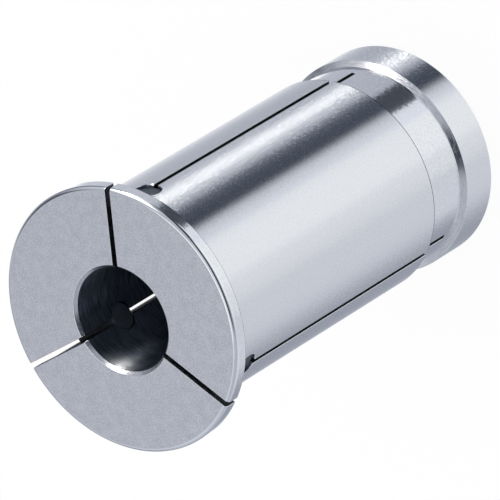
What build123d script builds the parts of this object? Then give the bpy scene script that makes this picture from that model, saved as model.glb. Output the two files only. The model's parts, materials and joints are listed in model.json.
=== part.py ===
from build123d import *
import os

# A slotted reducing sleeve: it goes into a 25 mm clamping chuck and takes a 12 mm shank.
# All sizes are in millimetres. The sleeve stands on its rear end, which enters the chuck first,
# with +Z along its axis towards the flange. The origin is the centre of the rear end face.

# Turned and ground form
body_diameter = 25.0
bore_diameter = 12.0
overall_length = 52.2
flange_diameter = 30.5
flange_thickness = 1.7
neck_diameter = 23.8
neck_length = 5.8
collar_length = 5.4

# Broken edges, and the sloped shoulder between the neck and the collar
flange_front_round = 0.5
flange_back_break = 0.1
bore_front_chamfer = 0.35
bore_rear_chamfer = 0.3
body_rear_break = 0.1
shoulder_rise = 0.4
collar_front_break = 0.1
collar_rear_chamfer = 0.3

# Clamping slots, sawn from the front face through the flange, the body and most of the neck
slot_count = 3
slot_width = 0.6
slot_length = 45.2
first_slot_angle = 90.0
slot_overrun = 1.0

# Seal holes, one across each slot, and the rubber plugs that close them
seal_hole_diameter = 3.2
seal_hole_from_front = 6.85
seal_hole_countersink = 0.1
plug_side_clearance = 0.02
plug_outer_recess = 0.4
plug_bore_clearance = 0.05
plug_edge_round = 0.15

# Radii and heights above the rear end face
body_radius = body_diameter / 2
bore_radius = bore_diameter / 2
flange_radius = flange_diameter / 2
neck_radius = neck_diameter / 2
seal_hole_radius = seal_hole_diameter / 2
shoulder_top = collar_length - shoulder_rise
neck_top = collar_length + neck_length
flange_back = overall_length - flange_thickness
seal_hole_height = overall_length - seal_hole_from_front
slot_reach = flange_radius + slot_overrun
slot_spacing = 360 / slot_count
plug_length = body_radius - plug_outer_recess - bore_radius - plug_bore_clearance


def seal_hole_plane(index):
    """Give the plane on the ground body at one seal hole, facing straight outwards.

    Args:
        index: Number of the slot that the hole crosses, from 0.

    Returns:
        The plane, with its normal along the axis of the hole.
    """
    outwards = Vector(1, 0, 0).rotate(Axis.Z, first_slot_angle + index * slot_spacing)
    on_body = outwards * body_radius + Vector(0, 0, seal_hole_height)
    return Plane(origin=on_body, x_dir=(0, 0, 1), z_dir=outwards)


os.makedirs("parts", exist_ok=True)

# The sleeve is turned from one bar: half of its section, from the rear of the bore round to the front
with BuildPart() as sleeve:
    with BuildSketch(Plane.XZ):
        with BuildLine():
            outside = Polyline(
                (bore_radius, bore_rear_chamfer),
                (bore_radius + bore_rear_chamfer, 0),
                (body_radius - collar_rear_chamfer, 0),
                (body_radius, collar_rear_chamfer),
                (body_radius, shoulder_top - collar_front_break),
                (body_radius - collar_front_break, shoulder_top),
                (neck_radius, collar_length),
                (neck_radius, neck_top),
                (body_radius - body_rear_break, neck_top),
                (body_radius, neck_top + body_rear_break),
                (body_radius, flange_back),
                (flange_radius - flange_back_break, flange_back),
                (flange_radius, flange_back + flange_back_break),
                (flange_radius, overall_length - flange_front_round),
            )
            rounded_rim = JernArc(
                start=outside @ 1, tangent=outside % 1, radius=flange_front_round, arc_size=90
            )
            Polyline(
                rounded_rim @ 1,
                (bore_radius + bore_front_chamfer, overall_length),
                (bore_radius, overall_length - bore_front_chamfer),
                outside @ 0,
            )
        make_face()
    revolve(axis=Axis.Z)

    # Seal holes are drilled and countersunk through the wall before the slots are sawn across them
    with Locations(*[seal_hole_plane(index) for index in range(slot_count)]):
        CounterSinkHole(
            radius=seal_hole_radius,
            counter_sink_radius=seal_hole_radius + seal_hole_countersink,
            depth=body_radius,
        )

    with BuildSketch(Plane.XY.offset(overall_length)):
        with PolarLocations(slot_reach / 2, slot_count, start_angle=first_slot_angle):
            Rectangle(slot_reach, slot_width)
    extrude(amount=-slot_length, mode=Mode.SUBTRACT)

sleeve.part.label = "sleeve"
export_step(sleeve.part, "parts/sleeve.step")

# A rubber plug fills each seal hole, sunk below the ground body and kept clear of the bore
for index in range(slot_count):
    with BuildPart() as seal_plug:
        with BuildSketch(seal_hole_plane(index).offset(-plug_outer_recess)):
            Circle(seal_hole_radius - plug_side_clearance)
        extrude(amount=-plug_length)
        fillet(seal_plug.edges().filter_by(GeomType.CIRCLE), plug_edge_round)

    seal_plug.part.label = f"seal_plug_{index + 1}"
    export_step(seal_plug.part, f"parts/seal_plug_{index + 1}.step")
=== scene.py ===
"""Looks of a slotted reducing sleeve: machined steel and rubber seals, shown in a pale studio.

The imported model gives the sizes. The sleeve is made again here as one clean mesh of the same form,
with its sawn edges finely broken, so that each machined surface can have a finish of its own.
Lengths are in metres and angles in degrees, unless a name says otherwise.
"""

import itertools
import json
import logging
import math
from collections.abc import Iterable, Sequence
from dataclasses import dataclass, replace
from enum import Enum
from typing import ClassVar

import bpy
from mathutils import Matrix, Vector


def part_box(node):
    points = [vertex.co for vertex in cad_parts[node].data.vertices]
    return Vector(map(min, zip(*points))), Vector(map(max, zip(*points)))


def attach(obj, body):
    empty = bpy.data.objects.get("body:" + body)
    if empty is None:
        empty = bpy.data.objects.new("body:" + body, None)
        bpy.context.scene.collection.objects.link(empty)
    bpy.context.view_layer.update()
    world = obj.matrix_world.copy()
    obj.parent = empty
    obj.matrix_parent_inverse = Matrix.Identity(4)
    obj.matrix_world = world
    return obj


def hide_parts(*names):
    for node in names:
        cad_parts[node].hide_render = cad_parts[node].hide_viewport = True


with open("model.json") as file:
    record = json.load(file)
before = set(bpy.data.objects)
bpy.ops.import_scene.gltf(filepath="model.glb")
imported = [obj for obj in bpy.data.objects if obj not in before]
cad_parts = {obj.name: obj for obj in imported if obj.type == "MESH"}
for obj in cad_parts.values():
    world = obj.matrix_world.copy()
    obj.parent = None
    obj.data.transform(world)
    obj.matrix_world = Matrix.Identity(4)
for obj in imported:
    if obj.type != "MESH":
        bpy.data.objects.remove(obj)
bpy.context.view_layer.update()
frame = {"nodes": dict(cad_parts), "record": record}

log = logging.getLogger("reducing_sleeve")

Colour = tuple[float, float, float]
Corner = tuple[Vector, Vector]
Groups = dict[str, bpy.types.NodeTree]

MM = 0.001
SLEEVE_NODE = "sleeve"
PLUG_NODES = ("seal_plug_1", "seal_plug_2", "seal_plug_3")
BODY = "root"


def direction(azimuth: float, height: float = 0) -> Vector:
    """Give the direction at an azimuth and a height above the level, both in degrees."""
    turn, tilt = math.radians(azimuth), math.radians(height)
    return Vector((math.cos(turn) * math.cos(tilt), math.sin(turn) * math.cos(tilt), math.sin(tilt)))


class Surface(Enum):
    """The machined surfaces of the sleeve, in the order of its material slots."""

    GROUND = 0
    TURNED = 1
    FACE = 2
    BORE = 3
    SAWN = 4
    EDGE = 5
    # A rear broken edge, darkened with painted shade.
    BACK_EDGE = 6
    BORE_EDGE = 7
    SLOPE = 8


@dataclass(frozen=True)
class SleeveSizes:
    """Sizes of the sleeve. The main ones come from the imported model, the small ones are here."""

    body_radius: float
    bore_radius: float
    flange_radius: float
    length: float
    flange_back: float
    seal_hole_height: float
    neck_radius: float = 11.9 * MM
    neck_bottom: float = 5.4 * MM
    neck_top: float = 11.2 * MM
    shoulder_rise: float = 0.4 * MM
    collar_chamfer: float = 0.3 * MM
    turned_break: float = 0.1 * MM
    # Width of a band of painted shade on the body, behind its rear break.
    painted_shade_line: float = 0.05 * MM
    rim_round: float = 0.5 * MM
    bore_front_chamfer: float = 0.35 * MM
    bore_rear_chamfer: float = 0.3 * MM
    slot_half_width: float = 0.3 * MM
    slot_end: float = 7.0 * MM
    sawn_break: float = 0.06 * MM
    seal_hole_radius: float = 1.6 * MM
    countersink: float = 0.1 * MM
    countersink_half_angle: float = 41.0
    slot_count: int = 3
    first_slot: float = 90.0

    @classmethod
    def from_frame(cls) -> "SleeveSizes":
        """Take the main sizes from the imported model.

        Returns:
            The sizes of the sleeve.
        """
        plug_low, plug_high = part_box(PLUG_NODES[0])
        points = frame["nodes"][SLEEVE_NODE].data.vertices
        mounts = {mount["name"]: mount for mount in frame["record"]["mounts"]}
        return cls(
            body_radius=mounts["chuck_seat"]["dims"]["r_mm"] * MM,
            bore_radius=mounts["tool_bore"]["dims"]["r_mm"] * MM,
            flange_radius=max(math.hypot(point.co.x, point.co.y) for point in points),
            length=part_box(SLEEVE_NODE)[1].z,
            flange_back=mounts["flange_back"]["pos_m"][2],
            seal_hole_height=(plug_low.z + plug_high.z) / 2,
        )

    @property
    def slot_spacing(self) -> float:
        """Angle from one slot to the next, in radians."""
        return math.tau / self.slot_count

    @property
    def edge_offset(self) -> float:
        """Distance from the middle of a slot to the outside of its broken edge."""
        return self.slot_half_width + self.sawn_break

    @property
    def countersink_radius(self) -> float:
        """Radius of a seal hole's countersink at the height of the ground body."""
        return self.seal_hole_radius + self.countersink

    @property
    def countersink_slope(self) -> float:
        """How much the countersink's radius grows for each metre outwards."""
        return math.tan(math.radians(self.countersink_half_angle))

    def slot_azimuth(self, index: int) -> float:
        """Direction of one slot round the axis, in radians."""
        return math.radians(self.first_slot) + index * self.slot_spacing


class NodeBoard:
    """Adds nodes to one node tree and joins them."""

    MIX_FACTOR, MIX_FIRST, MIX_SECOND = 0, 6, 7
    MIX_RESULT = 2

    def __init__(self, tree: bpy.types.NodeTree) -> None:
        """Start on a tree, and empty it."""
        self.tree = tree
        tree.nodes.clear()

    def add(self, kind: str, inputs: dict[str | int, object] | None = None,
            **settings: object) -> bpy.types.Node:
        """Add one node.

        Args:
            kind: The node's type, without the word ShaderNode.
            inputs: A value or another node's output for each named or numbered input.
            settings: Properties of the node itself.

        Returns:
            The new node.
        """
        name = kind if kind.startswith("NodeGroup") else f"ShaderNode{kind}"
        node = self.tree.nodes.new(name)
        for key, value in settings.items():
            setattr(node, key, value)
        for key, value in (inputs or {}).items():
            self.feed(node.inputs[key], value)
        return node

    def feed(self, socket: bpy.types.NodeSocket, value: object) -> None:
        """Join another node's output to a socket, or set the socket's own value.

        Args:
            socket: The input socket.
            value: The output, or a number, vector or colour.
        """
        if isinstance(value, bpy.types.NodeSocket):
            self.tree.links.new(value, socket)
        elif socket.type == "RGBA" and len(value) == 3:
            socket.default_value = (*value, 1)
        else:
            socket.default_value = value

    def math(self, operation: str, *values: object) -> bpy.types.NodeSocket:
        """Add a Math node and give its result."""
        return self.add("Math", dict(enumerate(values)), operation=operation).outputs[0]

    def vector(self, operation: str, *values: object) -> bpy.types.NodeSocket:
        """Add a Vector Math node and give its vector, or its value for a dot product or length."""
        node = self.add("VectorMath", dict(enumerate(values)), operation=operation)
        return node.outputs["Value" if operation in ("DOT_PRODUCT", "LENGTH") else "Vector"]

    def scaled(self, vector: object, factor: object) -> bpy.types.NodeSocket:
        """Give a vector times a number."""
        return self.add("VectorMath", {0: vector, "Scale": factor}, operation="SCALE").outputs[0]

    def between(self, value: object, low: float, high: float,
                to_low: float = 0, to_high: float = 1) -> bpy.types.NodeSocket:
        """Map a value smoothly from one range to another, and stop at its ends."""
        places = {0: value, 1: low, 2: high, 3: to_low, 4: to_high}
        return self.add("MapRange", places, interpolation_type="SMOOTHSTEP").outputs[0]

    def mix(self, factor: object, first: object, second: object) -> bpy.types.NodeSocket:
        """Mix two colours."""
        places = {self.MIX_FACTOR: factor, self.MIX_FIRST: first, self.MIX_SECOND: second}
        return self.add("Mix", places, data_type="RGBA").outputs[self.MIX_RESULT]

    def noise(self, vector: object, scale: object, detail: float,
              roughness: float) -> bpy.types.NodeSocket:
        """Add a noise texture and give its value."""
        places = {"Vector": vector, "Scale": scale, "Detail": detail, "Roughness": roughness}
        return self.add("TexNoise", places).outputs[0]


def new_group(name: str, inputs: dict[str, float], outputs: dict[str, str]) -> NodeBoard:
    """Start a shader node group.

    Args:
        name: Name of the group.
        inputs: Name and value of each number that goes in.
        outputs: Name and kind of each output, such as NodeSocketFloat.

    Returns:
        A board on the empty group.
    """
    tree = bpy.data.node_groups.new(name, "ShaderNodeTree")
    for label, value in inputs.items():
        socket = tree.interface.new_socket(label, in_out="INPUT", socket_type="NodeSocketFloat")
        socket.default_value = value
    for label, kind in outputs.items():
        tree.interface.new_socket(label, in_out="OUTPUT", socket_type=kind)
    return NodeBoard(tree)


@dataclass(frozen=True)
class SectionCorner:
    """One corner of the turned section, and the surface that runs on from it."""

    radius: float
    height: float
    surface: Surface
    soft: bool = False
    pierced: bool = False


@dataclass(frozen=True)
class SectionSpan:
    """A stretch of the turned section, its (radial, axial) normal, and those it is shaded with."""

    start: SectionCorner
    end: SectionCorner
    flat: Vector
    start_normal: Vector
    end_normal: Vector


class FinishedMesh:
    """Collects faces whose corners carry exact normals, and welds them into one mesh."""

    WELD = 1e-7
    NEARBY = tuple(itertools.product((0, -1, 1), repeat=3))

    def __init__(self) -> None:
        """Start with no faces."""
        self.index: dict[tuple[int, ...], int] = {}
        self.points: list[Vector] = []
        self.faces: list[list[int]] = []
        self.normals: list[Vector] = []
        self.surfaces: list[int] = []

    def point_index(self, point: Vector) -> int:
        """Give the number of a point, and add it if it is new.

        Args:
            point: Where the point is.

        Returns:
            Its number in the mesh.
        """
        cell = tuple(round(value / self.WELD) for value in point)
        for shift in self.NEARBY:
            key = tuple(a + b for a, b in zip(cell, shift))
            if key in self.index:
                return self.index[key]
        self.index[cell] = len(self.points)
        self.points.append(point)
        return self.index[cell]

    def add(self, corners: Sequence[Corner], surface: Surface) -> None:
        """Add one face, turned so that its corners' normals point out of it.

        Args:
            corners: Point and normal of each corner, in order round the face.
            surface: The machined surface that the face belongs to.
        """
        kept: dict[int, Vector] = {}
        for point, normal in corners:
            kept.setdefault(self.point_index(point), normal)
        # A face whose corners were welded into a line or a point is left out.
        if len(kept) < 3:
            return
        numbers = list(kept)
        ring = [self.points[number] - self.points[numbers[0]] for number in numbers]
        area = sum((a.cross(b) for a, b in zip(ring, ring[1:] + ring[:1])), Vector())
        if area.dot(sum(kept.values(), Vector())) < 0:
            numbers.reverse()
        self.faces.append(numbers)
        self.normals.extend(kept[number].normalized() for number in numbers)
        self.surfaces.append(surface.value)

    def to_object(self, name: str, materials: Sequence[bpy.types.Material]) -> bpy.types.Object:
        """Make the Blender object.

        Args:
            name: Name of the object.
            materials: One material for each machined surface, in order.

        Returns:
            The new object, linked to the scene.
        """
        mesh = bpy.data.meshes.new(name)
        mesh.from_pydata(self.points, [], self.faces)
        for material in materials:
            mesh.materials.append(material)
        mesh.polygons.foreach_set("material_index", self.surfaces)
        mesh.polygons.foreach_set("use_smooth", [True] * len(self.faces))
        mesh.update()
        mesh.normals_split_custom_set(self.normals)
        made = bpy.data.objects.new(name, mesh)
        bpy.context.scene.collection.objects.link(made)
        return made


@dataclass(frozen=True)
class SlotSide:
    """Local axes at one side of one slot: outwards, across the slot, and along the sleeve."""

    mesh: FinishedMesh
    azimuth: float
    side: int

    def place(self, local: Vector) -> Vector:
        """Turn a local point or direction into the sleeve's own axes."""
        turn = Matrix.Rotation(self.azimuth, 3, "Z")
        return turn @ Vector((local.x, local.y * self.side, local.z))

    def add(self, corners: Iterable[Corner], surface: Surface) -> None:
        """Add a face whose corners are given in these axes."""
        self.mesh.add([(self.place(point), self.place(normal)) for point, normal in corners], surface)

    def add_row(self, near: Sequence[Corner], far: Sequence[Corner], surface: Surface) -> None:
        """Add the row of faces between two lines of corners."""
        for quad in zip(near, near[1:], far[1:], far):
            self.add(quad, surface)


@dataclass(frozen=True)
class SealHole:
    """Half of a countersunk seal hole, at one side of the slot that crosses it."""

    SETTLING_ROUNDS: ClassVar[int] = 8

    sizes: SleeveSizes
    steps: int

    @property
    def throat(self) -> float:
        """Distance from the sleeve's axis to the foot of the countersink."""
        return self.sizes.body_radius - self.sizes.countersink / self.sizes.countersink_slope

    def turn(self, radius: float, clearance: float, step: int) -> float:
        """Angle round the hole from the rear, in radians, with both ends clear of the slot."""
        start = math.asin(clearance / radius)
        return start + (math.pi - 2 * start) * step / self.steps

    def corner(self, out: float, radius: float, turn: float, lean: float = 0) -> Corner:
        """Place a corner of the hole's wall in the local axes of the slot's side.

        Args:
            out: Distance outwards from the sleeve's axis.
            radius: Radius of the hole there.
            turn: Angle round the hole, in radians.
            lean: How far the wall's normal leans outwards, in radians.

        Returns:
            The local point and normal.
        """
        across, along = math.sin(turn), -math.cos(turn)
        inwards = math.cos(lean)
        point = Vector((out, radius * across, self.sizes.seal_hole_height + radius * along))
        return point, Vector((math.sin(lean), -across * inwards, -along * inwards))

    def wall_corner(self, step: int, on_body: bool, clearance: float, depth: float) -> Corner:
        """Place a corner in the countersink, beside the ground body, or beside the bore.

        Args:
            step: Number of the step round the half circle.
            on_body: Whether it is beside the ground body.
            clearance: Distance of the first and last corners from the middle of the slot.
            depth: Distance from the body, kept to half the countersink's depth, or from the bore.

        Returns:
            The local point and normal.
        """
        s = self.sizes
        if not on_body:
            turn = self.turn(s.seal_hole_radius, clearance, step)
            surface = math.sqrt(s.bore_radius**2 - (s.seal_hole_radius * math.sin(turn)) ** 2)
            return self.corner(surface + depth, s.seal_hole_radius, turn)
        radius = s.countersink_radius
        for _ in range(self.SETTLING_ROUNDS):
            turn = self.turn(radius, clearance, step)
            surface = math.sqrt(s.body_radius**2 - (radius * math.sin(turn)) ** 2)
            out = max(surface - depth, (surface + self.throat) / 2)
            radius = s.countersink_radius - s.countersink_slope * (s.body_radius - out)
        return self.corner(out, radius, turn, math.radians(s.countersink_half_angle))

    def rings(self) -> list[list[Corner]]:
        """Work out the wall of the half hole, from the ground body in to the bore.

        Returns:
            Rings of local points and normals: the rim on the body, one just below it, the foot of
            the countersink, one just short of the bore and the rim in the bore.
        """
        s = self.sizes
        steps = range(self.steps + 1)
        rim, lip = (s.edge_offset, 0), (s.slot_half_width, s.sawn_break)
        places = ((True, *rim), (True, *lip), (False, *lip), (False, *rim))
        rings = [[self.wall_corner(step, *place) for step in steps] for place in places]
        turns = (self.turn(s.seal_hole_radius, s.slot_half_width, step) for step in steps)
        foot = [self.corner(self.throat, s.seal_hole_radius, turn) for turn in turns]
        return [*rings[:2], foot, *rings[2:]]


@dataclass
class Sleeve:
    """The turned, ground, slotted and drilled steel sleeve."""

    WALL_NORMAL: ClassVar[Vector] = Vector((0, -1, 0))
    END_NORMAL: ClassVar[Vector] = Vector((0, 0, 1))
    NEAR_EDGE: ClassVar[int] = 0
    FAR_EDGE: ClassVar[int] = -1
    BEVEL: ClassVar[float] = 45

    sizes: SleeveSizes
    columns: int = 64
    rim_steps: int = 6
    patch_half_height: float = 2.5 * MM
    patch_columns: int = 10
    patch_levels: int = 10
    patch_layers: int = 4

    def __post_init__(self) -> None:
        """Lay out the turned section and the seal holes, and start the mesh."""
        along_slots = self.slotted_corners()
        self.slotted = len(along_slots)
        self.spans = self.join(along_slots + self.rear_corners())
        self.rings = SealHole(self.sizes, 2 * self.patch_columns + self.patch_levels).rings()
        self.mesh = FinishedMesh()

    def rounded(self, radius: float, height: float, bend: float, start: float, end: float,
                surface: Surface = Surface.EDGE) -> list[SectionCorner]:
        """Round an edge of the section.

        Args:
            radius: Distance of the bend's centre from the sleeve's axis.
            height: Height of the bend's centre.
            bend: Radius of the bend.
            start: Direction of the normal where the bend starts, in degrees from outwards.
            end: Direction of the normal where it ends.
            surface: The bend's surface.

        Returns:
            The corners along the bend, without the last.
        """
        corners = []
        for step in range(self.rim_steps):
            turn = math.radians(start + (end - start) * step / self.rim_steps)
            place = radius + bend * math.cos(turn), height + bend * math.sin(turn)
            corners.append(SectionCorner(*place, surface, soft=True))
        return corners

    def slotted_corners(self) -> list[SectionCorner]:
        """List the section's corners along the slots.

        Returns:
            The corners, from the neck over the front into the bore.
        """
        s = self.sizes
        low_hole = s.seal_hole_height - self.patch_half_height
        high_hole = s.seal_hole_height + self.patch_half_height
        edge = s.turned_break
        # The rear breaks, and a thin band of the body behind the body's break, are darkened with
        # painted shade.
        back_edge = edge, -90, 0, Surface.BACK_EDGE
        rim = s.flange_radius - s.rim_round
        mouth = s.bore_radius + s.bore_front_chamfer
        lip = edge * math.tan(math.radians(self.BEVEL / 2))
        lip_run = lip * math.cos(math.radians(self.BEVEL))
        return [
            SectionCorner(s.neck_radius, s.slot_end - s.sawn_break, Surface.TURNED),
            SectionCorner(s.neck_radius, s.neck_top, Surface.GROUND),
            *self.rounded(s.body_radius - edge, s.neck_top + edge, *back_edge),
            SectionCorner(s.body_radius, s.neck_top + edge, Surface.BACK_EDGE),
            SectionCorner(s.body_radius, s.neck_top + edge + s.painted_shade_line, Surface.GROUND),
            SectionCorner(s.body_radius, low_hole, Surface.GROUND, pierced=True),
            SectionCorner(s.body_radius, high_hole, Surface.GROUND),
            SectionCorner(s.body_radius, s.flange_back, Surface.GROUND),
            *self.rounded(s.flange_radius - edge, s.flange_back + edge, *back_edge),
            SectionCorner(s.flange_radius, s.flange_back + edge, Surface.TURNED),
            *self.rounded(rim, s.length - s.rim_round, s.rim_round, 0, 90),
            SectionCorner(rim, s.length, Surface.FACE),
            *self.rounded(mouth + lip, s.length - edge, edge, 90, 90 + self.BEVEL),
            SectionCorner(mouth - lip_run, s.length - lip_run, Surface.BORE_EDGE),
            SectionCorner(s.bore_radius, s.length - s.bore_front_chamfer, Surface.BORE),
            SectionCorner(s.bore_radius, high_hole, Surface.BORE, pierced=True),
            SectionCorner(s.bore_radius, low_hole, Surface.BORE),
        ]

    def rear_corners(self) -> list[SectionCorner]:
        """List the section's corners behind the slots.

        Returns:
            The corners, from the bore round the collar to the neck.
        """
        s = self.sizes
        shoulder_run = s.body_radius - s.turned_break - s.neck_radius
        slope = math.atan2(shoulder_run, s.shoulder_rise)
        collar_top = s.neck_bottom - s.shoulder_rise - s.turned_break
        bend = s.turned_break * (1 - s.shoulder_rise / shoulder_run) / math.tan(slope / 2)
        centre = s.body_radius - bend
        bend_end = centre + bend * math.cos(slope), collar_top + bend * math.sin(slope)
        return [
            SectionCorner(s.bore_radius, s.slot_end - s.sawn_break, Surface.BORE),
            SectionCorner(s.bore_radius, s.bore_rear_chamfer, Surface.BORE_EDGE),
            SectionCorner(s.bore_radius + s.bore_rear_chamfer, 0, Surface.FACE),
            SectionCorner(s.body_radius - s.collar_chamfer, 0, Surface.EDGE),
            SectionCorner(s.body_radius, s.collar_chamfer, Surface.GROUND),
            *self.rounded(centre, collar_top, bend, 0, math.degrees(slope)),
            SectionCorner(*bend_end, Surface.SLOPE),
            SectionCorner(s.neck_radius, s.neck_bottom, Surface.TURNED),
        ]

    @staticmethod
    def join(corners: Sequence[SectionCorner]) -> list[SectionSpan]:
        """Join the corners into stretches; a soft one is shaded from one neighbour to the next.

        Args:
            corners: The section's corners, in order round it.

        Returns:
            One stretch for each corner, starting at it.
        """
        ends = [*corners[1:], corners[0]]
        pairs = zip(corners, ends)
        flat = [Vector((b.height - a.height, a.radius - b.radius)).normalized() for a, b in pairs]
        spans = []
        for i, (start, end) in enumerate(zip(corners, ends)):
            first = last = flat[i]
            if start.soft:
                after = flat[(i + 1) % len(flat)]
                first = flat[i - 1] + flat[i] if corners[i - 1].soft else flat[i - 1]
                last = flat[i] + after if end.soft else after
            spans.append(SectionSpan(start, end, flat[i], first.normalized(), last.normalized()))
        return spans

    def column_angle(self, radius: float, column: int) -> float:
        """Work out the angle from the middle of a slot to a column of the mesh.

        Args:
            radius: Distance from the axis.
            column: Number of the column, from NEAR_EDGE on, or FAR_EDGE for the slot's other edge.

        Returns:
            The angle in radians.
        """
        edge = math.asin(self.sizes.edge_offset / radius)
        if column == self.FAR_EDGE:
            return -edge
        return edge + (self.sizes.slot_spacing - 2 * edge) * column / self.columns

    @staticmethod
    def turned(radius: float, height: float, angle: float, normal: Vector) -> Corner:
        """Place a corner of a turned surface, from its (radial, axial) normal, in local axes."""
        point = Vector((radius * math.cos(angle), radius * math.sin(angle), height))
        return point, Vector((normal.x * math.cos(angle), normal.x * math.sin(angle), normal.y))

    def rows(self, span: SectionSpan, columns: Iterable[int]) -> list[list[Corner]]:
        """Place the corners of one stretch of the section, in local axes.

        Args:
            span: The stretch of the section.
            columns: The columns that it reaches over.

        Returns:
            The row of corners at its start, and the row at its end.
        """
        rows = []
        for end, normal in ((span.start, span.start_normal), (span.end, span.end_normal)):
            angles = (self.column_angle(end.radius, column) for column in columns)
            rows.append([self.turned(end.radius, end.height, angle, normal) for angle in angles])
        return rows

    def add_pierced_middle(self, side: SlotSide, span: SectionSpan) -> None:
        """Add a pierced stretch between the patches of two neighbouring slots.

        Args:
            side: Side +1 of the first of the two slots.
            span: The pierced stretch of the section.
        """
        low, high = span.start.height, span.end.height
        columns = range(self.patch_columns, self.columns - self.patch_columns + 1)
        for level in range(self.patch_levels):
            start, end = (
                replace(span.start, height=low + (high - low) * (level + step) / self.patch_levels)
                for step in (0, 1)
            )
            rows = self.rows(replace(span, start=start, end=end), columns)
            side.add_row(*rows, span.start.surface)

    def add_patch(self, side: SlotSide, span: SectionSpan,
                  rim: Sequence[Corner]) -> list[list[Corner]]:
        """Add the turned surface round one half of a seal hole.

        Args:
            side: Side of the slot.
            span: The pierced stretch of the section.
            rim: The hole's rim on this surface, from the rear round to the front.

        Returns:
            The patch's two edges along the slot, each from the rim outwards: rear one, front one.
        """
        radius, normal = span.start.radius, span.start_normal
        *angles, reach = (self.column_angle(radius, i) for i in range(self.patch_columns + 1))
        low, high = sorted((span.start.height, span.end.height))
        border = [(angle, low) for angle in angles]
        for level in range(self.patch_levels + 1):
            border.append((reach, low + (high - low) * level / self.patch_levels))
        border += [(angle, high) for angle in reversed(angles)]
        rim_places = [(math.atan2(point.y, point.x), point.z) for point, _ in rim]
        layers: list[list[Corner]] = []
        for layer in range(self.patch_layers + 1):
            share = layer / self.patch_layers
            layers.append([
                self.turned(radius, z + (far_z - z) * share, a + (far_a - a) * share, normal)
                for (a, z), (far_a, far_z) in zip(rim_places, border)
            ])
        for near, far in zip(layers, layers[1:]):
            side.add_row(near, far, span.start.surface)
        return [[layer[0] for layer in layers], [layer[-1] for layer in layers]]

    def broken_edge(self, point: Vector, normal: Vector) -> Vector:
        """Find where a slot's broken edge meets the sawn wall, below a local point beside it."""
        back = normal * self.sizes.sawn_break
        return Vector((point.x - back.x, self.sizes.slot_half_width, point.z - back.y))

    def wall_point(self, number: int) -> Vector:
        """Find where the broken edge beside a section corner meets the sawn wall.

        Args:
            number: Number of the corner.

        Returns:
            The local point.
        """
        start = self.spans[number].start
        before, after = self.spans[number - 1].flat, self.spans[number].flat
        mitre = (before + after) / (1 + before.dot(after))
        angle = self.column_angle(start.radius, self.NEAR_EDGE)
        wall = self.broken_edge(self.turned(start.radius, start.height, angle, after)[0], mitre)
        if number in (0, self.slotted):
            wall.z = self.sizes.slot_end
        return wall

    def add_break(self, side: SlotSide, edge: Sequence[Corner], walls: Sequence[Vector]) -> None:
        """Add a slot's broken edge, from corners on a turned surface down to points on the wall."""
        side.add_row(edge, [(wall, self.WALL_NORMAL) for wall in walls], Surface.EDGE)

    def add_sawn_side(self, side: SlotSide) -> None:
        """Add the sawn wall at one side of a slot, its broken edges and its half of the seal hole.

        The hole splits the wall into a lower and an upper part.

        Args:
            side: Side of the slot.
        """
        lower: list[Vector] = []
        upper: list[Vector] = []
        outline, other = lower, upper
        foot = self.rings[len(self.rings) // 2]
        for number, span in enumerate(self.spans[:self.slotted]):
            outline.append(self.wall_point(number))
            if not span.start.pierced:
                edge = [row[0] for row in self.rows(span, (self.NEAR_EDGE,))]
                self.add_break(side, edge, (outline[-1], self.wall_point(number + 1)))
                continue
            on_body = outline is lower
            rim, lip = self.rings[:2] if on_body else self.rings[:-3:-1]
            ends = []
            for edge, (lip_point, _) in zip(self.add_patch(side, span, rim), (lip[0], lip[-1])):
                beyond = (self.broken_edge(point, span.flat) for point, _ in edge[1:])
                ends.append([lip_point, *beyond])
                self.add_break(side, edge, ends[-1])
            near, far = ends if on_body else reversed(ends)
            outline += [*reversed(near), foot[0 if on_body else -1][0]]
            other += far[:-1]
            outline, other = other, outline
        lower.append(self.wall_point(self.slotted))
        for wall in (lower, upper):
            side.add([(point, self.WALL_NORMAL) for point in wall], Surface.SAWN)
        surfaces = (Surface.EDGE, Surface.EDGE, Surface.BORE, Surface.BORE)
        for outer, inner, surface in zip(self.rings, self.rings[1:], surfaces):
            if surface is Surface.EDGE:
                inner = [(point, normal) for (point, _), (_, normal) in zip(inner, outer)]
            side.add_row(outer, inner, surface)

    def add_slot_end(self, side: SlotSide) -> None:
        """Add the end face of a slot and the broken edges at its two ends.

        Args:
            side: Side +1 of the slot.
        """
        floor: list[Corner] = []
        for number, order in ((0, 1), (self.slotted, -1)):
            wall = self.wall_point(number)
            beside = self.rows(self.spans[number], (self.NEAR_EDGE, self.FAR_EDGE))[0]
            below = [(Vector((wall.x, y, wall.z)), self.END_NORMAL) for y in (wall.y, -wall.y)]
            side.add_row(beside, below, Surface.EDGE)
            floor += below[::order]
        side.add(floor, Surface.SAWN)

    def build(self, materials: Sequence[bpy.types.Material]) -> bpy.types.Object:
        """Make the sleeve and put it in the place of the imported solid.

        Args:
            materials: One material for each machined surface, in order.

        Returns:
            The new sleeve.
        """
        between_slots = range(self.NEAR_EDGE, self.columns + 1)
        behind_slot = range(self.FAR_EDGE, self.NEAR_EDGE + 1)
        for index in range(self.sizes.slot_count):
            ahead, back = (
                SlotSide(self.mesh, self.sizes.slot_azimuth(index), side) for side in (1, -1)
            )
            for number, span in enumerate(self.spans):
                if span.start.pierced:
                    self.add_pierced_middle(ahead, span)
                    continue
                places = (between_slots,) if number < self.slotted else (between_slots, behind_slot)
                for columns in places:
                    ahead.add_row(*self.rows(span, columns), span.start.surface)
            self.add_sawn_side(ahead)
            self.add_sawn_side(back)
            self.add_slot_end(ahead)
        made = self.mesh.to_object("ground_sleeve", materials)
        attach(made, BODY)
        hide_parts(SLEEVE_NODE)
        log.info("%s: %d faces", made.name, len(made.data.polygons))
        return made


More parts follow.
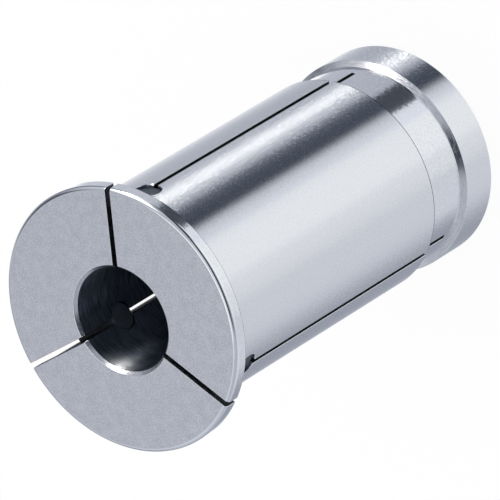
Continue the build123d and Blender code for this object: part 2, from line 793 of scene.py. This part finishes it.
def machining_lines() -> bpy.types.NodeTree:
    """Make the group for the fine lines that turning and grinding leave round the axis.

    Returns:
        A group that gives the lines as a value from 0 to 1, and the surface's normal leaning to and
        fro round the axis with them.
    """
    board = new_group(
        "machining_lines",
        {"Lines": 2500, "Runs": 3, "Lean": 0.03},
        {"Value": "NodeSocketFloat", "Normal": "NodeSocketVector"},
    )
    given = board.add("NodeGroupInput")
    place = board.add("TexCoord").outputs["Object"]
    flat = board.vector("MULTIPLY", place, (1, 1, 0))
    outwards = board.vector("NORMALIZE", flat)
    height = board.vector("DOT_PRODUCT", place, (0, 0, 1))
    along = board.math("MULTIPLY", height, given.outputs["Lines"])
    radius = board.vector("LENGTH", flat)
    across = board.math("MULTIPLY", radius, given.outputs["Lines"])
    lift = board.add("CombineXYZ", {"X": 0, "Y": across, "Z": along}).outputs[0]
    wound = board.vector("ADD", board.scaled(outwards, given.outputs["Runs"]), lift)
    value = board.noise(wound, scale=1, detail=3, roughness=0.6)
    around = board.vector("CROSS_PRODUCT", (0, 0, 1), outwards)
    swing = board.math("MULTIPLY", board.math("SUBTRACT", value, 0.5), given.outputs["Lean"])
    normal = board.add("NewGeometry").outputs["Normal"]
    leaning = board.vector("NORMALIZE", board.vector("ADD", normal, board.scaled(around, swing)))
    board.add("NodeGroupOutput", {"Value": value, "Normal": leaning})
    return board.tree


def lapped_grain() -> bpy.types.NodeTree:
    """Make the group for the fine cloudy grain that lapping leaves on a flat face.

    Returns:
        A group that gives fine grain and broad clouds, each as a value from 0 to 1.
    """
    board = new_group(
        "lapped_grain",
        {"Grain": 1600, "Clouds": 180},
        {"Grain": "NodeSocketFloat", "Clouds": "NodeSocketFloat"},
    )
    given = board.add("NodeGroupInput")
    place = board.add("TexCoord").outputs["Object"]
    grain = board.noise(place, given.outputs["Grain"], detail=2, roughness=0.6)
    clouds = board.noise(place, given.outputs["Clouds"], detail=3, roughness=0.5)
    board.add("NodeGroupOutput", {"Grain": grain, "Clouds": clouds})
    return board.tree


def new_material(name: str) -> tuple[bpy.types.Material, NodeBoard]:
    """Start a material.

    Args:
        name: Name of the material.

    Returns:
        The material and a board on its empty node tree.
    """
    made = bpy.data.materials.new(name)
    made.use_nodes = True
    return made, NodeBoard(made.node_tree)


@dataclass(frozen=True)
class Finish:
    """A procedural finish between two colours, uneven by the values of a shared node group."""

    # The lowest and highest value of the marks that count: beyond them nothing changes any more.
    VALUE_RANGE: ClassVar[tuple[float, float]] = (0.3, 0.7)

    name: str
    dark: Colour
    light: Colour
    roughness: float
    unevenness: float

    def uneven(self, board: NodeBoard, value: bpy.types.NodeSocket) -> bpy.types.NodeSocket:
        """Vary the roughness about its middle with a value."""
        ends = self.roughness - self.unevenness, self.roughness + self.unevenness
        return board.between(value, *self.VALUE_RANGE, *ends)

    def shader_inputs(self, board: NodeBoard, groups: Groups) -> dict[str, object]:
        """Work out what goes into the surface shader; each kind of finish has its own."""
        raise NotImplementedError

    def material(self, groups: Groups) -> bpy.types.Material:
        """Make the material.

        Args:
            groups: The shared node groups, by name.

        Returns:
            The new material.
        """
        made, board = new_material(self.name)
        shader = board.add("BsdfPrincipled", self.shader_inputs(board, groups))
        board.add("OutputMaterial", {"Surface": shader.outputs[0]})
        return made


@dataclass(frozen=True)
class MachinedSteel(Finish):
    """Bare steel with fine lines round the axis, as turning or grinding leaves it."""

    QUARTER_TURN: ClassVar[float] = 0.25

    anisotropy: float
    lines: float
    runs: float
    lean: float

    def base_colour(self, board: NodeBoard, value: bpy.types.NodeSocket) -> bpy.types.NodeSocket:
        """Work out the steel's own colour from the value of its lines."""
        return board.mix(board.between(value, *self.VALUE_RANGE), self.dark, self.light)

    def shader_inputs(self, board: NodeBoard, groups: Groups) -> dict[str, object]:
        """Work out what goes into the surface shader.

        Args:
            board: Board on the material's node tree.
            groups: The shared node groups, by name.

        Returns:
            A value or an output for each input.
        """
        given = {"Lines": self.lines, "Runs": self.runs, "Lean": self.lean}
        marks = board.add("Group", given, node_tree=groups["machining_lines"]).outputs
        tangent = board.add("Tangent", direction_type="RADIAL", axis="Z").outputs[0]
        return {
            "Base Color": self.base_colour(board, marks["Value"]),
            "Metallic": 1,
            "Roughness": self.uneven(board, marks["Value"]),
            "Anisotropic": self.anisotropy,
            "Anisotropic Rotation": self.QUARTER_TURN,
            "Tangent": tangent,
            "Normal": marks["Normal"],
        }


@dataclass(frozen=True)
class HonedBorePaintedLight(MachinedSteel):
    """The honed steel of the bore: its dark colours are painted shade for its inside, and a painted
    highlight makes it brighter at one side of its mouth.
    """

    # Where the painted highlight at the mouth lies, and its near-white colour.
    mouth: float = 52.2 * MM
    painted_highlight_depth: float = 4 * MM
    painted_highlight_azimuth: float = 137
    painted_highlight_spread: float = 28
    painted_highlight: Colour = (0.98, 0.99, 1.0)

    def base_colour(self, board: NodeBoard, value: bpy.types.NodeSocket) -> bpy.types.NodeSocket:
        """Work out the steel's colour, with its painted highlight.

        Args:
            board: Board on the material's node tree.
            value: The value of its lines.

        Returns:
            The colour, brighter at one side of the mouth, where it is a painted highlight.
        """
        # Painted highlight: close to the mouth and on one side of it, the colour turns near white.
        place = board.add("TexCoord").outputs["Object"]
        height = board.vector("DOT_PRODUCT", place, (0, 0, 1))
        near = board.between(height, self.mouth - self.painted_highlight_depth, self.mouth)
        outwards = board.vector("NORMALIZE", board.vector("MULTIPLY", place, (1, 1, 0)))
        facing = board.vector("DOT_PRODUCT", outwards, direction(self.painted_highlight_azimuth))
        spread = math.cos(math.radians(self.painted_highlight_spread))
        share = board.math("MULTIPLY", near, board.between(facing, spread, 1))
        return board.mix(share, super().base_colour(board, value), self.painted_highlight)


@dataclass(frozen=True)
class LappedSteel(Finish):
    """Steel with a flat, finely lapped face, cloudy and without direction."""

    VALUE_RANGE: ClassVar[tuple[float, float]] = (0.4, 0.6)
    CLOUD_SHARE: ClassVar[float] = 0.25
    RELIEF: ClassVar[float] = 0.01 * MM

    bump: float

    def shader_inputs(self, board: NodeBoard, groups: Groups) -> dict[str, object]:
        """Work out what goes into the surface shader.

        Args:
            board: Board on the material's node tree.
            groups: The shared node groups, by name.

        Returns:
            A value or an output for each input.
        """
        marks = board.add("Group", {"Grain": 5500, "Clouds": 900}, node_tree=groups["lapped_grain"])
        grain, clouds = marks.outputs
        fine = board.math("MULTIPLY", grain, 1 - self.CLOUD_SHARE)
        blend = board.math("ADD", fine, board.math("MULTIPLY", clouds, self.CLOUD_SHARE))
        relief = board.add("Bump", {"Strength": self.bump, "Distance": self.RELIEF, "Height": grain})
        return {
            "Base Color": board.mix(board.between(blend, *self.VALUE_RANGE), self.dark, self.light),
            "Metallic": 1,
            "Roughness": self.uneven(board, blend),
            "Normal": relief.outputs[0],
        }


@dataclass(frozen=True)
class SealRubber(Finish):
    """Matt dark sealing rubber with a fine moulded grain."""

    RELIEF: ClassVar[float] = 0.02 * MM

    bump: float

    def shader_inputs(self, board: NodeBoard, groups: Groups) -> dict[str, object]:
        """Work out what goes into the surface shader.

        Args:
            board: Board on the material's node tree.
            groups: The shared node groups, by name.

        Returns:
            A value or an output for each input.
        """
        marks = board.add("Group", {"Grain": 5000, "Clouds": 700}, node_tree=groups["lapped_grain"])
        grain, clouds = marks.outputs
        relief = board.add("Bump", {"Strength": self.bump, "Distance": self.RELIEF, "Height": grain})
        return {
            "Base Color": board.mix(clouds, self.dark, self.light),
            "Roughness": self.uneven(board, grain),
            "Normal": relief.outputs[0],
        }


@dataclass(frozen=True)
class SkyView:
    """The direction in which the world is seen, its level part, and the sine of its height."""

    direction: bpy.types.NodeSocket
    level: bpy.types.NodeSocket
    rise: bpy.types.NodeSocket

    @classmethod
    def on(cls, board: NodeBoard) -> "SkyView":
        """Work out the direction.

        Args:
            board: Board on the world's node tree.

        Returns:
            The view.
        """
        seen = board.add("TexCoord").outputs["Generated"]
        level = board.vector("NORMALIZE", board.vector("MULTIPLY", seen, (1, 1, 0)))
        return cls(seen, level, board.vector("DOT_PRODUCT", seen, (0, 0, 1)))


@dataclass(frozen=True)
class StudioCard:
    """A card that stands far away round the sleeve, as the steel sees it, in degrees."""

    azimuth: float
    half_width: float
    softness: float
    colour: Colour
    low: float = -90
    high: float = -14
    fade: float = 16

    @staticmethod
    def within(board: NodeBoard, cosine: bpy.types.NodeSocket, reach: float,
               softness: float) -> bpy.types.NodeSocket:
        """Mask the directions within an angle of a middle direction.

        Args:
            board: Board on the world's node tree.
            cosine: Cosine of the angle from the middle direction.
            reach: The angle in degrees.
            softness: Width of the mask's soft edge in degrees.

        Returns:
            The mask, from 0 to 1.
        """
        outer = math.cos(math.radians(min(reach + softness / 2, 180)))
        inner = math.cos(math.radians(max(reach - softness / 2, 0)))
        return board.between(cosine, outer, inner)

    def mask(self, board: NodeBoard, sky: SkyView) -> bpy.types.NodeSocket:
        """Work out how much of the card is seen in a direction.

        Args:
            board: Board on the world's node tree.
            sky: The direction.

        Returns:
            The mask, from 0 to 1.
        """
        facing = board.vector("DOT_PRODUCT", sky.level, direction(self.azimuth))
        mask = self.within(board, facing, self.half_width, self.softness)
        for edge, values in ((self.low, (0, 1)), (self.high, (1, 0))):
            if abs(edge) < 90:
                heights = (edge - self.fade / 2, edge + self.fade / 2)
                rises = (math.sin(math.radians(height)) for height in heights)
                mask = board.math("MULTIPLY", mask, board.between(sky.rise, *rises, *values))
        return mask


@dataclass(frozen=True)
class BentCard(StudioCard):
    """A long narrow card, bent along a ring round a slanting pole."""

    pole_azimuth: float = 0
    pole_height: float = 90
    ring: float = 80
    half_thickness: float = 8
    blur: float = 10

    def mask(self, board: NodeBoard, sky: SkyView) -> bpy.types.NodeSocket:
        """Work out how much of the bent card is seen in a direction.

        Args:
            board: Board on the world's node tree.
            sky: The direction.

        Returns:
            The mask, from 0 to 1.
        """
        pole = direction(self.pole_azimuth, self.pole_height)
        cosine = board.vector("DOT_PRODUCT", sky.direction, pole)
        wide = self.within(board, cosine, self.ring + self.half_thickness, self.blur)
        narrow = self.within(board, cosine, self.ring - self.half_thickness, self.blur)
        band = board.math("SUBTRACT", wide, narrow)
        return board.math("MULTIPLY", super().mask(board, sky), band)


@dataclass(frozen=True)
class Studio:
    """The pale studio: what the steel sees all round, the plain light and the floor."""

    floor_reach: float = 3.0
    floor_glow: float = 0.9
    flag_reach: float = 9 * MM
    flag_depth: float = 0.5 * MM
    plain_white: Colour = (1.0, 1.0, 1.0)
    black: Colour = (0.0, 0.0, 0.0)
    horizon: tuple[float, float] = (-0.1, 0.2)
    ground_colour: Colour = (0.73, 0.759, 0.842)
    dome_colour: Colour = (0.491, 0.518, 0.594)
    # Azimuth, half width and softness, then the colour, and the lower and upper edge and their fade.
    cards: tuple[StudioCard, ...] = (
        StudioCard(20.2, 56, 10.8, (0.021, 0.059, 0.149), -90, -51, 16),
        StudioCard(141.5, 21.1, 52.5, (0.350, 0.380, 0.455), -90, -3.6, 16),
        StudioCard(83.8, 14.2, 29.1, (1.361, 1.371, 1.412), -90, -35.9, 16),
        StudioCard(-49, 17.5, 32, (0.020, 0.034, 0.054), -90, -2, 16),
        StudioCard(-35.5, 14.5, 5, (0.070, 0.082, 0.103), -58, -37, 10),
        StudioCard(-80.9, 32.2, 3.4, (0.884, 0.920, 1.021), -90, -16.1, 20),
        StudioCard(-90.7, 24.6, 4, (0.992, 1.020, 1.068), -90, 3, 20),
        StudioCard(-118.9, 5.6, 21.8, (0.863, 0.890, 0.942), -90, -11.1, 20),
        StudioCard(45.3, 35, 14.4, (0.598, 0.616, 0.677), -35.4, 35.5, 16),
        StudioCard(44.9, 11.8, 23.7, (0.339, 0.365, 0.425), -27.7, 26.3, 12),
        StudioCard(17.8, 20.6, 16, (0.176, 0.204, 0.290), -35, -4.4, 12),
        StudioCard(-125, 78.6, 24, (0.757, 0.791, 0.857), 65.5, 86.1, 14),
        StudioCard(-107, 28, 20, (0.237, 0.268, 0.320), 11.5, 32, 20),
        StudioCard(100, 24, 10, (0.330, 0.355, 0.410), -12, 22, 8),
        StudioCard(57, 14, 14, (0.080, 0.090, 0.120), 8, 46, 14),
        StudioCard(-9.8, 15.2, 9.9, (2.850, 2.791, 2.839), -1.1, 42.5, 12),
        StudioCard(-12.9, 5.2, 4, (12.000, 11.930, 11.630), -9.1, 32, 12),
        StudioCard(123.1, 23.8, 14, (0.653, 0.684, 0.778), 20.2, 66.3, 10),
        StudioCard(93, 60, 20, (1.250, 1.260, 1.280), 66, 88, 8),
        StudioCard(0, 180, 0, (0.447, 0.477, 0.462), 87.9, 90, 10),
        BentCard(-89.2, 51.3, 14, (0.031, 0.042, 0.063), -90, 90, 0, -135, -44.1, 90, 14, 7),
    )

    def light_world(self) -> None:
        """Make the world: plain white light, with the studio's cards where shiny steel looks."""
        world = bpy.data.worlds.new("studio")
        world.use_nodes = True
        bpy.context.scene.world = world
        board = NodeBoard(world.node_tree)
        sky = SkyView.on(board)
        above = board.between(sky.rise, *self.horizon)
        seen = board.mix(above, self.ground_colour, self.dome_colour)
        for card in self.cards:
            seen = board.mix(card.mask(board, sky), seen, card.colour)
        shiny = board.add("LightPath").outputs["Is Glossy Ray"]
        colour = board.mix(shiny, self.plain_white, seen)
        background = board.add("Background", {"Color": colour, "Strength": 1.0})
        board.add("OutputWorld", {"Surface": background.outputs[0]})

    @staticmethod
    def sheet(name: str, reach: float, height: float,
              material: bpy.types.Material) -> bpy.types.Object:
        """Make a flat square sheet of the studio, level and round the sleeve's axis.

        Args:
            name: Name of the sheet.
            reach: Half its side.
            height: Its height above the floor.
            material: Its material.

        Returns:
            The sheet.
        """
        mesh = bpy.data.meshes.new(name)
        corners = [(-reach, -reach), (reach, -reach), (reach, reach), (-reach, reach)]
        mesh.from_pydata([(*corner, height) for corner in corners], [], [(0, 1, 2, 3)])
        mesh.materials.append(material)
        made = bpy.data.objects.new(name, mesh)
        bpy.context.scene.collection.objects.link(made)
        return made

    def lay_flag(self) -> None:
        """Lay a black flag under the bore, which keeps it dark and shows in the steel alone."""
        black, board = new_material("studio_flag")
        finish = board.add("BsdfDiffuse", {"Color": self.black})
        board.add("OutputMaterial", {"Surface": finish.outputs[0]})
        flag = self.sheet("studio_flag", self.flag_reach, -self.flag_depth, black)
        flag.visible_camera = False
        flag.visible_diffuse = False
        flag.visible_transmission = False
        flag.visible_shadow = False

    def lay_floor(self) -> None:
        """Lay the pale floor, which takes the sleeve's soft shadow and stays out of the steel."""
        made, board = new_material("studio_floor")
        path = board.add("LightPath").outputs
        seen = board.math("MAXIMUM", path["Is Camera Ray"], path["Is Glossy Ray"])
        seen = board.math("MAXIMUM", seen, path["Is Transmission Ray"])
        glow = board.add("Emission", {"Color": self.plain_white, "Strength": 1.0}).outputs[0]
        paint = board.add("BsdfDiffuse", {"Color": self.plain_white}).outputs[0]
        share = board.math("MULTIPLY", seen, self.floor_glow)
        both = board.add("MixShader", {0: share, 1: paint, 2: glow})
        board.add("OutputMaterial", {"Surface": both.outputs[0]})
        floor = self.sheet("studio_floor", self.floor_reach, 0, made)
        floor.visible_glossy = False


@dataclass(frozen=True)
class StudioCamera:
    """The camera at the photograph's viewing angle, rolled so that the sleeve lies across it."""

    azimuth: float = 3.2
    elevation: float = 46.912
    roll: float = 121.388
    distance: float = 0.92635
    target: tuple[float, float, float] = (-0.000839, 0.001509, 0.027553)
    focal_length_mm: float = 612
    sensor_mm: float = 36
    clip_factor: float = 20

    def place(self) -> None:
        """Make the camera and look through it."""
        data = bpy.data.cameras.new("studio_camera")
        data.sensor_width = self.sensor_mm
        data.lens = self.focal_length_mm
        data.clip_start = self.distance / self.clip_factor
        data.clip_end = self.distance * self.clip_factor
        camera = bpy.data.objects.new("studio_camera", data)
        bpy.context.scene.collection.objects.link(camera)
        back = direction(self.azimuth - 90, self.elevation)
        aim = (-back).to_track_quat("-Z", "Y").to_matrix().to_4x4()
        place = Matrix.Translation(Vector(self.target) + back * self.distance)
        camera.matrix_world = place @ aim @ Matrix.Rotation(-math.radians(self.roll), 4, "Z")
        bpy.context.scene.camera = camera


# Name, dark and light colour, roughness and unevenness, then what each kind of finish adds.
STEEL_FINISHES: dict[Surface, Finish] = {
    Surface.GROUND: MachinedSteel(
        "ground_steel", (0.77, 0.77, 0.775), (0.88, 0.88, 0.875), 0.24, 0.036, 1.0, 5500, 48, 0.052
    ),
    Surface.TURNED: MachinedSteel(
        "turned_steel", (0.73, 0.73, 0.735), (0.83, 0.83, 0.83), 0.13, 0.03, 0.0, 5500, 40, 0.13
    ),
    Surface.FACE: LappedSteel(
        "lapped_face", (0.635, 0.640, 0.658), (0.78, 0.778, 0.782), 0.32, 0.04, 0.6
    ),
    # Painted shade and highlight: the bore's dark colours stand in for the shade inside it, and its
    # near-white colour at the mouth is a painted highlight.
    Surface.BORE: HonedBorePaintedLight(
        "honed_bore", (0.10, 0.122, 0.158), (0.245, 0.287, 0.354), 0.33, 0.04, 1.0, 6000, 3, 0.06
    ),
    # Painted shade: the sawn walls and slot ends are near black, for the shade inside the narrow
    # slots.
    Surface.SAWN: MachinedSteel(
        "sawn_slot", (0.05, 0.055, 0.065), (0.13, 0.14, 0.16), 0.50, 0.05, 0.2, 2000, 3, 0.1
    ),
    Surface.EDGE: MachinedSteel(
        "broken_edge", (0.81, 0.81, 0.81), (0.86, 0.86, 0.86), 0.13, 0.02, 0.0, 3500, 12, 0.05
    ),
    # Painted shade: near-black colours that draw a dark line along the rear edges.
    Surface.BACK_EDGE: MachinedSteel(
        "back_edge", (0.03, 0.033, 0.04), (0.09, 0.095, 0.11), 0.25, 0.04, 0.0, 3500, 12, 0.05
    ),
    Surface.BORE_EDGE: MachinedSteel(
        "bore_edge", (0.58, 0.58, 0.59), (0.68, 0.68, 0.69), 0.24, 0.04, 0.0, 3500, 12, 0.05
    ),
    Surface.SLOPE: MachinedSteel(
        "turned_slope", (0.66, 0.66, 0.67), (0.90, 0.90, 0.90), 0.19, 0.07, 0.0, 9000, 14, 0.16
    ),
}
SEAL_FINISH = SealRubber("seal_rubber", (0.035, 0.046, 0.062), (0.055, 0.07, 0.09), 0.55, 0.06, 0.4)


def dress_plugs(material: bpy.types.Material) -> None:
    """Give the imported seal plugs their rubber."""
    for name in PLUG_NODES:
        node = frame["nodes"][name]
        node.material_slots[0].material = material
        log.info("%s: dressed as it was packed", name)


def main() -> None:
    """Build the sleeve, dress it, and set up the studio."""
    logging.basicConfig(level=logging.INFO)
    bpy.context.scene.view_settings.view_transform = "Standard"
    groups = {"machining_lines": machining_lines(), "lapped_grain": lapped_grain()}
    steel = [STEEL_FINISHES[surface].material(groups) for surface in Surface]
    Sleeve(SleeveSizes.from_frame()).build(steel)
    dress_plugs(SEAL_FINISH.material(groups))
    studio = Studio()
    studio.light_world()
    studio.lay_flag()
    studio.lay_floor()
    StudioCamera().place()


if __name__ == "__main__":
    main()
